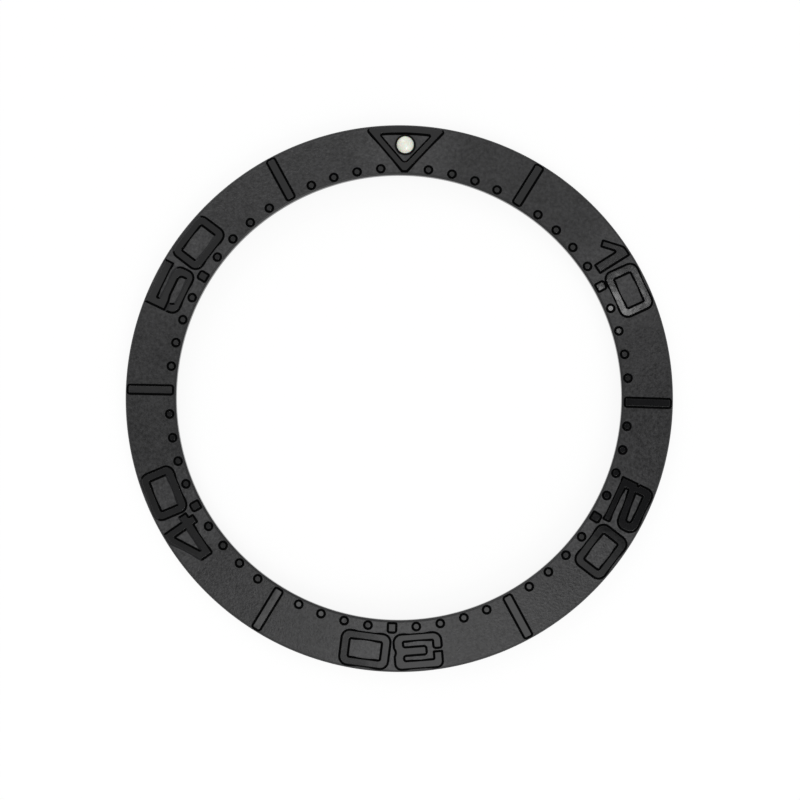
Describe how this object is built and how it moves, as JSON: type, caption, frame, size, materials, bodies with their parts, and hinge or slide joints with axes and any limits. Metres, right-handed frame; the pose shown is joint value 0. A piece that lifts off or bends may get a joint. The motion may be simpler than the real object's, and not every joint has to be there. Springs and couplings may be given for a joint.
{
  "type": "watch bezel insert",
  "caption": "Sloping ring for a diver's watch bezel: matt ceramic face with raised gloss numerals, bars and dots, and a luminous pearl in a triangle.",
  "frame": {"origin": "centre of the bore on the underside of the adhesive film, which is the insert's seating plane", "axes": "+Z along the bore's axis and out of the face, +Y to twelve, minutes clockwise seen from +Z"},
  "size_m": [0.038, 0.038, 0.0017],
  "materials": {
    "ring_ceramic": "matt, finely grained",
    "inlay_gloss": "smooth, semi-gloss black",
    "pearl": "milky luminous resin",
    "cup_metal": "black coated steel",
    "film": "tacky, slightly cloudy"
  },
  "bodies": {
    "root": {"insert_ring": "ring_ceramic", "adhesive_film": "film", "pearl_cup": "cup_metal", "luminous_pearl": "pearl", "triangle_marker": "inlay_gloss", "ten_1": "inlay_gloss", "ten_0": "inlay_gloss", "twenty_2": "inlay_gloss", "twenty_0": "inlay_gloss", "thirty_3": "inlay_gloss", "thirty_0": "inlay_gloss", "forty_4": "inlay_gloss", "forty_0": "inlay_gloss", "fifty_5": "inlay_gloss", "fifty_0": "inlay_gloss", "bar_05": "inlay_gloss", "bar_15": "inlay_gloss", "bar_25": "inlay_gloss", "bar_35": "inlay_gloss", "bar_45": "inlay_gloss", "bar_55": "inlay_gloss", "dash_10": "inlay_gloss", "dash_20": "inlay_gloss", "dash_30": "inlay_gloss", "dash_40": "inlay_gloss", "dash_50": "inlay_gloss", "dots_01_04": "inlay_gloss", "dots_06_09": "inlay_gloss", "dots_11_14": "inlay_gloss", "dots_16_19": "inlay_gloss", "dots_21_24": "inlay_gloss", "dots_26_29": "inlay_gloss", "dots_31_34": "inlay_gloss", "dots_36_39": "inlay_gloss", "dots_41_44": "inlay_gloss", "dots_46_49": "inlay_gloss", "dots_51_54": "inlay_gloss", "dots_56_59": "inlay_gloss"}
  },
  "joints": []
}
